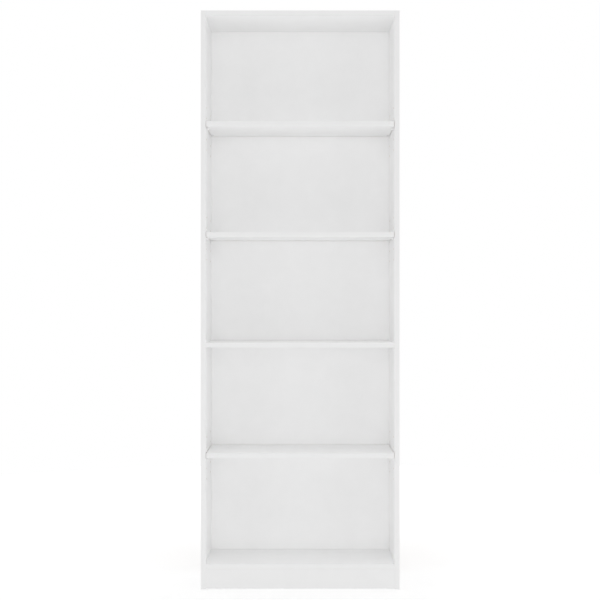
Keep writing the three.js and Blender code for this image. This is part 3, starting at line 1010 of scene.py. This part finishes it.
def bolt_mesh():
    """A threaded end, a collar that stops at the panel, a shank, a neck and a driven head."""
    start = -BOLT_THREAD_LENGTH
    head = BOLT_HEAD_START
    edge = BOLT_COLLAR_EDGE
    profile = [(start, 0), (start, BOLT_THREAD_RADIUS - BOLT_POINT_DROP)]
    steps = spaced(start + BOLT_POINT, BOLT_COLLAR_START, BOLT_THREAD_PITCH / THREAD_STEPS)
    profile += [(along, BOLT_THREAD_RADIUS) for along in steps]
    profile += [
        (BOLT_COLLAR_START, BOLT_COLLAR_RADIUS - edge),
        (BOLT_COLLAR_START + edge, BOLT_COLLAR_RADIUS),
        (BOLT_COLLAR_END - edge, BOLT_COLLAR_RADIUS),
        (BOLT_COLLAR_END, BOLT_COLLAR_RADIUS - edge),
        (BOLT_COLLAR_END, BOLT_SHANK_RADIUS),
        (BOLT_NECK_START - BOLT_NECK_CONE, BOLT_SHANK_RADIUS),
        (BOLT_NECK_START, BOLT_NECK_RADIUS),
        (head, BOLT_NECK_RADIUS),
    ]
    middle_of_head = (head + BOLT_LENGTH) / 2
    half_length = (BOLT_LENGTH - head) / 2
    bulge = BOLT_HEAD_RADIUS - BOLT_NECK_RADIUS
    for k in range(1, BOLT_HEAD_STEPS):
        angle = math.pi * k / BOLT_HEAD_STEPS
        along = middle_of_head - half_length * math.cos(angle)
        swell = bulge * math.sin(angle) ** BOLT_HEAD_FULLNESS
        profile.append((along, BOLT_NECK_RADIUS + swell))
    profile += [(BOLT_LENGTH, BOLT_NECK_RADIUS), (BOLT_LENGTH, 0)]
    thread = threaded(start, BOLT_COLLAR_START, BOLT_THREAD_DEPTH, BOLT_THREAD_PITCH)
    bolt = turned_object("bolt", profile, BOLT_SEGMENTS, [steel], radius_at=thread)
    bm = bmesh.new()
    end = Matrix.Translation((BOLT_LENGTH, 0, 0)) @ Z_TO_X
    add_cross(bm, end, BOLT_CROSS, BOLT_CROSS)
    carve(bolt, bm)
    return template(bolt)


def dowel_mesh(length):
    """A fluted beech dowel with chamfered ends, about its own middle."""
    half = length / 2
    shoulder = half - DOWEL_CHAMFER
    end_radius = DOWEL_RADIUS - DOWEL_CHAMFER
    profile = [(-half, 0), (-half, end_radius), (-shoulder, DOWEL_RADIUS)]
    profile += [(-along, radius) for along, radius in reversed(profile)]
    flutes = ribbed(-half, half, DOWEL_FLUTES, DOWEL_FLUTE_DEPTH)
    return template(turned_object("dowel", profile, 4 * DOWEL_FLUTES, [beech], radius_at=flutes))


def glide_meshes(low, high):
    """A moulded pad with a dished middle, and the ringed nail through it, standing on Z = 0."""
    pad_radius = (high.x - low.x) / 2
    pad_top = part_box("side_panel_left")[0].z
    hole = GLIDE_NAIL_RADIUS + GLIDE_NAIL_PLAY
    dish = GLIDE_NAIL_HEAD_RADIUS + GLIDE_HEAD_PLAY
    pad = [(GLIDE_RECESS, hole), (GLIDE_RECESS, dish), (0, dish + GLIDE_DISH_SLOPE)]
    pad += [(up, pad_radius - inwards) for up, inwards in GLIDE_RIM]
    pad += [
        (pad_top - GLIDE_TOP_EDGE, pad_radius),
        (pad_top, pad_radius - GLIDE_TOP_EDGE),
        (pad_top, hole),
    ]
    pad = turned_object("pad", pad, GLIDE_SEGMENTS, [glide_plastic], upright=True, ring=True)

    nail = [(GLIDE_RECESS - GLIDE_NAIL_HEAD[0][0], 0)]
    nail += [
        (GLIDE_RECESS - below, share * GLIDE_NAIL_HEAD_RADIUS) for below, share in GLIDE_NAIL_HEAD
    ]
    nail.append((GLIDE_RECESS, GLIDE_NAIL_RADIUS))
    rings_start = pad_top + GLIDE_RING_START
    rings_end = high.z - GLIDE_NAIL_POINT - GLIDE_RING_END
    for i, along in enumerate(spaced(rings_start, rings_end, GLIDE_RING_STEP)):
        nail.append((along, GLIDE_NAIL_RADIUS - (GLIDE_RING_DEPTH if i % 2 else 0)))
    nail += [(high.z - GLIDE_NAIL_POINT, GLIDE_NAIL_RADIUS), (high.z, 0)]
    nail = turned_object("nail", nail, GLIDE_NAIL_SEGMENTS, [steel], upright=True)
    return template(pad), template(nail)


def make_bracket():
    """A strip of sheet with rounded corners and two holes, drawn flat and then bent."""
    low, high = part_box("wall_bracket")
    outer = BRACKET_BEND + BRACKET_THICKNESS
    leg = high.y - low.y - outer
    arc = outer * math.pi / 2
    rise = high.z - low.z - outer
    corners = [(low.x, 0), (high.x, 0), (high.x, leg + arc + rise), (low.x, leg + arc + rise)]
    outline = rounded_outline(corners, [BRACKET_CORNER_RADIUS] * 4, BRACKET_CORNER_STEPS)
    bm = bmesh.new()
    loops = [[(u, s, level) for u, s in outline] for level in (0, BRACKET_THICKNESS)]
    soften(bm, add_loft(bm, loops), BRACKET_EDGE_RADIUS)
    bracket = new_object("wall_bracket_sheet", bm, [coated_steel])

    bm = bmesh.new()
    holes = [
        (middle("bracket_screw").y - low.y, BRACKET_HOLE_RADIUS),
        (leg + arc + rise / 2, BRACKET_WALL_HOLE_RADIUS),
    ]
    for s, radius in holes:
        reach = BRACKET_THICKNESS + OVERCUT
        profile = [(-OVERCUT, 0), (-OVERCUT, radius), (reach, radius), (reach, 0)]
        hole = add_turned(bm, profile, BRACKET_HOLE_SEGMENTS)
        moved(bm, hole, aimed((0, s, 0), (0, 0, 1)))
    carve(bracket, bm)

    bm = bmesh.new()
    bm.from_mesh(bracket.data)
    for k in range(BRACKET_BEND_STEPS + 1):
        geometry = bm.verts[:] + bm.edges[:] + bm.faces[:]
        at = (0, leg + arc * k / BRACKET_BEND_STEPS, 0)
        bmesh.ops.bisect_plane(bm, geom=geometry, plane_co=at, plane_no=(0, 1, 0))
    for vertex in bm.verts:
        u, s, level = vertex.co
        if s <= leg:
            vertex.co = (u, low.y + s, low.z + level)
        elif s < leg + arc:
            angle = (s - leg) / outer
            radius = outer - level
            y = low.y + leg + radius * math.sin(angle)
            vertex.co = (u, y, low.z + outer - radius * math.cos(angle))
        else:
            vertex.co = (u, high.y - level, low.z + outer + s - leg - arc)
    bm.to_mesh(bracket.data)
    bm.free()
    install(bracket, "wall_bracket")


def make_screw():
    """A pan-head chipboard screw with a cross recess."""
    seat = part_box("bracket_screw")[0].z + SCREW_LENGTH
    head = SCREW_HEAD_RADIUS
    span = SCREW_HEAD_HIGH - SCREW_HEAD_LOW
    profile = [(-SCREW_LENGTH, 0)]
    for along in spaced(-SCREW_LENGTH, SCREW_HEAD_LOW, SCREW_THREAD_PITCH / THREAD_STEPS)[1:]:
        taper = min(1, (along + SCREW_LENGTH) / SCREW_POINT)
        profile.append((along, SCREW_RADIUS * taper**SCREW_POINT_FULLNESS))
    profile += [
        (SCREW_HEAD_LOW, head - SCREW_HEAD_EDGE),
        (SCREW_HEAD_LOW + SCREW_HEAD_EDGE, head),
    ]
    for k in range(SCREW_HEAD_STEPS):
        angle = math.pi / 2 * k / SCREW_HEAD_STEPS
        up = SCREW_DOME_START + (1 - SCREW_DOME_START) * math.sin(angle)
        out = SCREW_DOME_FLAT + (1 - SCREW_DOME_FLAT) * math.cos(angle)
        profile.append((SCREW_HEAD_LOW + span * up, head * out))
    profile += [(SCREW_HEAD_HIGH, SCREW_DOME_TOP * head), (SCREW_HEAD_HIGH, 0)]
    thread = threaded(-SCREW_LENGTH, -SCREW_THREAD_END, SCREW_THREAD_DEPTH, SCREW_THREAD_PITCH)
    screw = turned_object("screw", profile, SCREW_SEGMENTS, [steel], thread, upright=True)
    bm = bmesh.new()
    top = Matrix.Translation((0, 0, SCREW_HEAD_HIGH))
    add_cross(bm, top, SCREW_CROSS, SCREW_CROSS_DEPTH)
    carve(screw, bm)
    at = middle("bracket_screw")
    place = Matrix.Translation((at.x, at.y, seat))
    install_copy("bracket_screw_threaded", template(screw), place, "bracket_screw")


def place_hardware():
    """Copies of the pins, cams, bolts, dowels and glides, each at its CAD node."""
    pin, cam, bolt = pin_mesh(), cam_mesh(), bolt_mesh()
    dowel_low, dowel_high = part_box("dowel_top_left")
    dowel = dowel_mesh(dowel_high.x - dowel_low.x)
    pad, nail = glide_meshes(*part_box("glide_left_front"))
    for side_name in sides:
        face_x = face_of_side(side_name)
        for row in rows:
            for number in loose_shelves:
                node = f"shelf_pin_{number}_{side_name}_{row}"
                place = at_side(side_name, (face_x, middle(node).y, pin_axis(node)))
                install_copy(f"{node}_moulding", pin, place, node)
            for panel, board in locked_panels.items():
                node = f"cam_bolt_{panel}_{side_name}_{row}"
                place = at_side(side_name, (face_x, middle(node).y, middle(node).z))
                install_copy(f"{node}_threaded", bolt, place, node)
                node = f"cam_lock_{panel}_{side_name}_{row}"
                flip = Matrix.Rotation(0 if panel == "top" else math.pi, 4, "X")
                place = at_side(side_name, (middle(node).x, middle(node).y, middle(board).z))
                install_copy(f"{node}_casting", cam, place @ flip, node)
            node = f"glide_{side_name}_{row}"
            place = Matrix.Translation((middle(node).x, middle(node).y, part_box(node)[0].z))
            install_copy(f"{node}_pad", pad, place, node)
            install_copy(f"{node}_nail", nail, place, node)
        for row in dowel_rows:
            node = f"dowel_{row}_{side_name}"
            install_copy(f"{node}_fluted", dowel, Matrix.Translation(middle(node)), node)


place_hardware()
make_bracket()
make_screw()


# Stage, light and camera


def make_floor():
    """A round pale floor, whose glow makes its far edge melt into the white behind it."""
    bm = bmesh.new()
    bmesh.ops.create_circle(bm, cap_ends=True, segments=96, radius=FLOOR_RADIUS)
    graph = Graph("floor", Roughness=0.9, Emission_Color=(1, 1, 1, 1))
    speckle = graph.noise(6, detail=4)
    colour = graph.ramp(speckle, [(0.3, grey(0.49)), (0.7, grey(0.51))])
    reach = graph.node("VectorMath", {0: graph.where}, operation="LENGTH").outputs["Value"]
    glow = graph.spread(reach, *FLOOR_GLOW, *FLOOR_GLOW_REACH)
    seen = graph.node("LightPath").outputs["Is Camera Ray"]
    glow = graph.maths("MULTIPLY_ADD", seen, FLOOR_LIFT, glow)
    floor = new_object("floor", bm, [graph.finish(Base_Color=colour, Emission_Strength=glow)])


def make_world():
    """Even light from all round, seen as plain white."""
    world = bpy.data.worlds.new("studio")
    world.use_nodes = True
    tree = world.node_tree
    lit = tree.nodes["Background"]
    lit.inputs["Color"].default_value = (1, 1, 1, 1)
    lit.inputs["Strength"].default_value = AMBIENT
    seen = tree.nodes.new("ShaderNodeBackground")
    seen.inputs["Color"].default_value = (1, 1, 1, 1)
    path = tree.nodes.new("ShaderNodeLightPath")
    mixer = tree.nodes.new("ShaderNodeMixShader")
    tree.links.new(path.outputs["Is Camera Ray"], mixer.inputs["Fac"])
    tree.links.new(lit.outputs[0], mixer.inputs[1])
    tree.links.new(seen.outputs[0], mixer.inputs[2])
    tree.links.new(mixer.outputs[0], tree.nodes["World Output"].inputs["Surface"])
    bpy.context.scene.world = world


def add_light(name, kind, place, target, **values):
    data = bpy.data.lights.new(name, kind)
    for key, value in values.items():
        setattr(data, key, value)
    lamp = add_object(name, data)
    lamp.location = place
    lamp.rotation_euler = (Vector(target) - Vector(place)).to_track_quat("-Z", "Y").to_euler()
    lamp.visible_camera = False


def make_panel(name, x, z, width, height, power, spread):
    """A soft panel upright in the front plane of the openings, which shines in. Power is per m2."""
    y = cad_box[0].y + LAMP_INSET
    add_light(
        name,
        "AREA",
        (x, y, z),
        (x, 0, z),
        shape="RECTANGLE",
        size=width,
        size_y=height,
        energy=power * width * height,
        spread=spread,
    )


def make_lights():
    """A sheet across the openings, strips along the boards beside them, and a broad sun overhead."""
    half_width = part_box("top_panel")[1].x
    openings = [(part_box(a)[1].z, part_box(b)[0].z) for a, b in pairwise(boards_upwards)]
    low, high = openings[0][0], openings[-1][1]
    middle_z, height = (low + high) / 2, high - low
    make_panel("sheet", 0, middle_z, 2 * half_width, height, SHEET_POWER, SHEET_SPREAD)
    strip_x = half_width - STRIP_INSET
    for side_name, side in sides.items():
        name = f"upright_{side_name}"
        make_panel(name, side * strip_x, middle_z, STRIP_WIDTH, height, UPRIGHT_POWER, STRIP_SPREAD)
    for number, (low, high) in enumerate(openings, 1):
        for name, z in (("lower", low + STRIP_INSET), ("upper", high - STRIP_INSET)):
            name = f"{name}_{number}"
            make_panel(name, 0, z, 2 * half_width, STRIP_WIDTH, LEVEL_POWER, STRIP_SPREAD)
    add_light(
        "overhead",
        "SUN",
        OVERHEAD_PLACE,
        (0, 0, 0),
        energy=OVERHEAD_STRENGTH,
        angle=OVERHEAD_ANGLE,
    )


def make_camera():
    data = bpy.data.cameras.new("camera")
    data.sensor_width = CAMERA_SENSOR
    data.lens = CAMERA_LENS
    data.shift_x, data.shift_y = CAMERA_SHIFT
    camera = add_object("camera", data)
    camera.location = (0, cad_box[0].y - CAMERA_DISTANCE, CAMERA_HEIGHT)
    camera.rotation_euler = (math.radians(90), 0, 0)
    bpy.context.scene.camera = camera


make_floor()
make_world()
make_lights()
make_camera()
bpy.context.scene.view_settings.view_transform = "Standard"
# Each lamp gets its share of samples, so that the two sides come out alike
bpy.context.scene.cycles.use_light_tree = False
bpy.context.scene.cycles.max_bounces = BOUNCES
bpy.context.scene.cycles.diffuse_bounces = BOUNCES
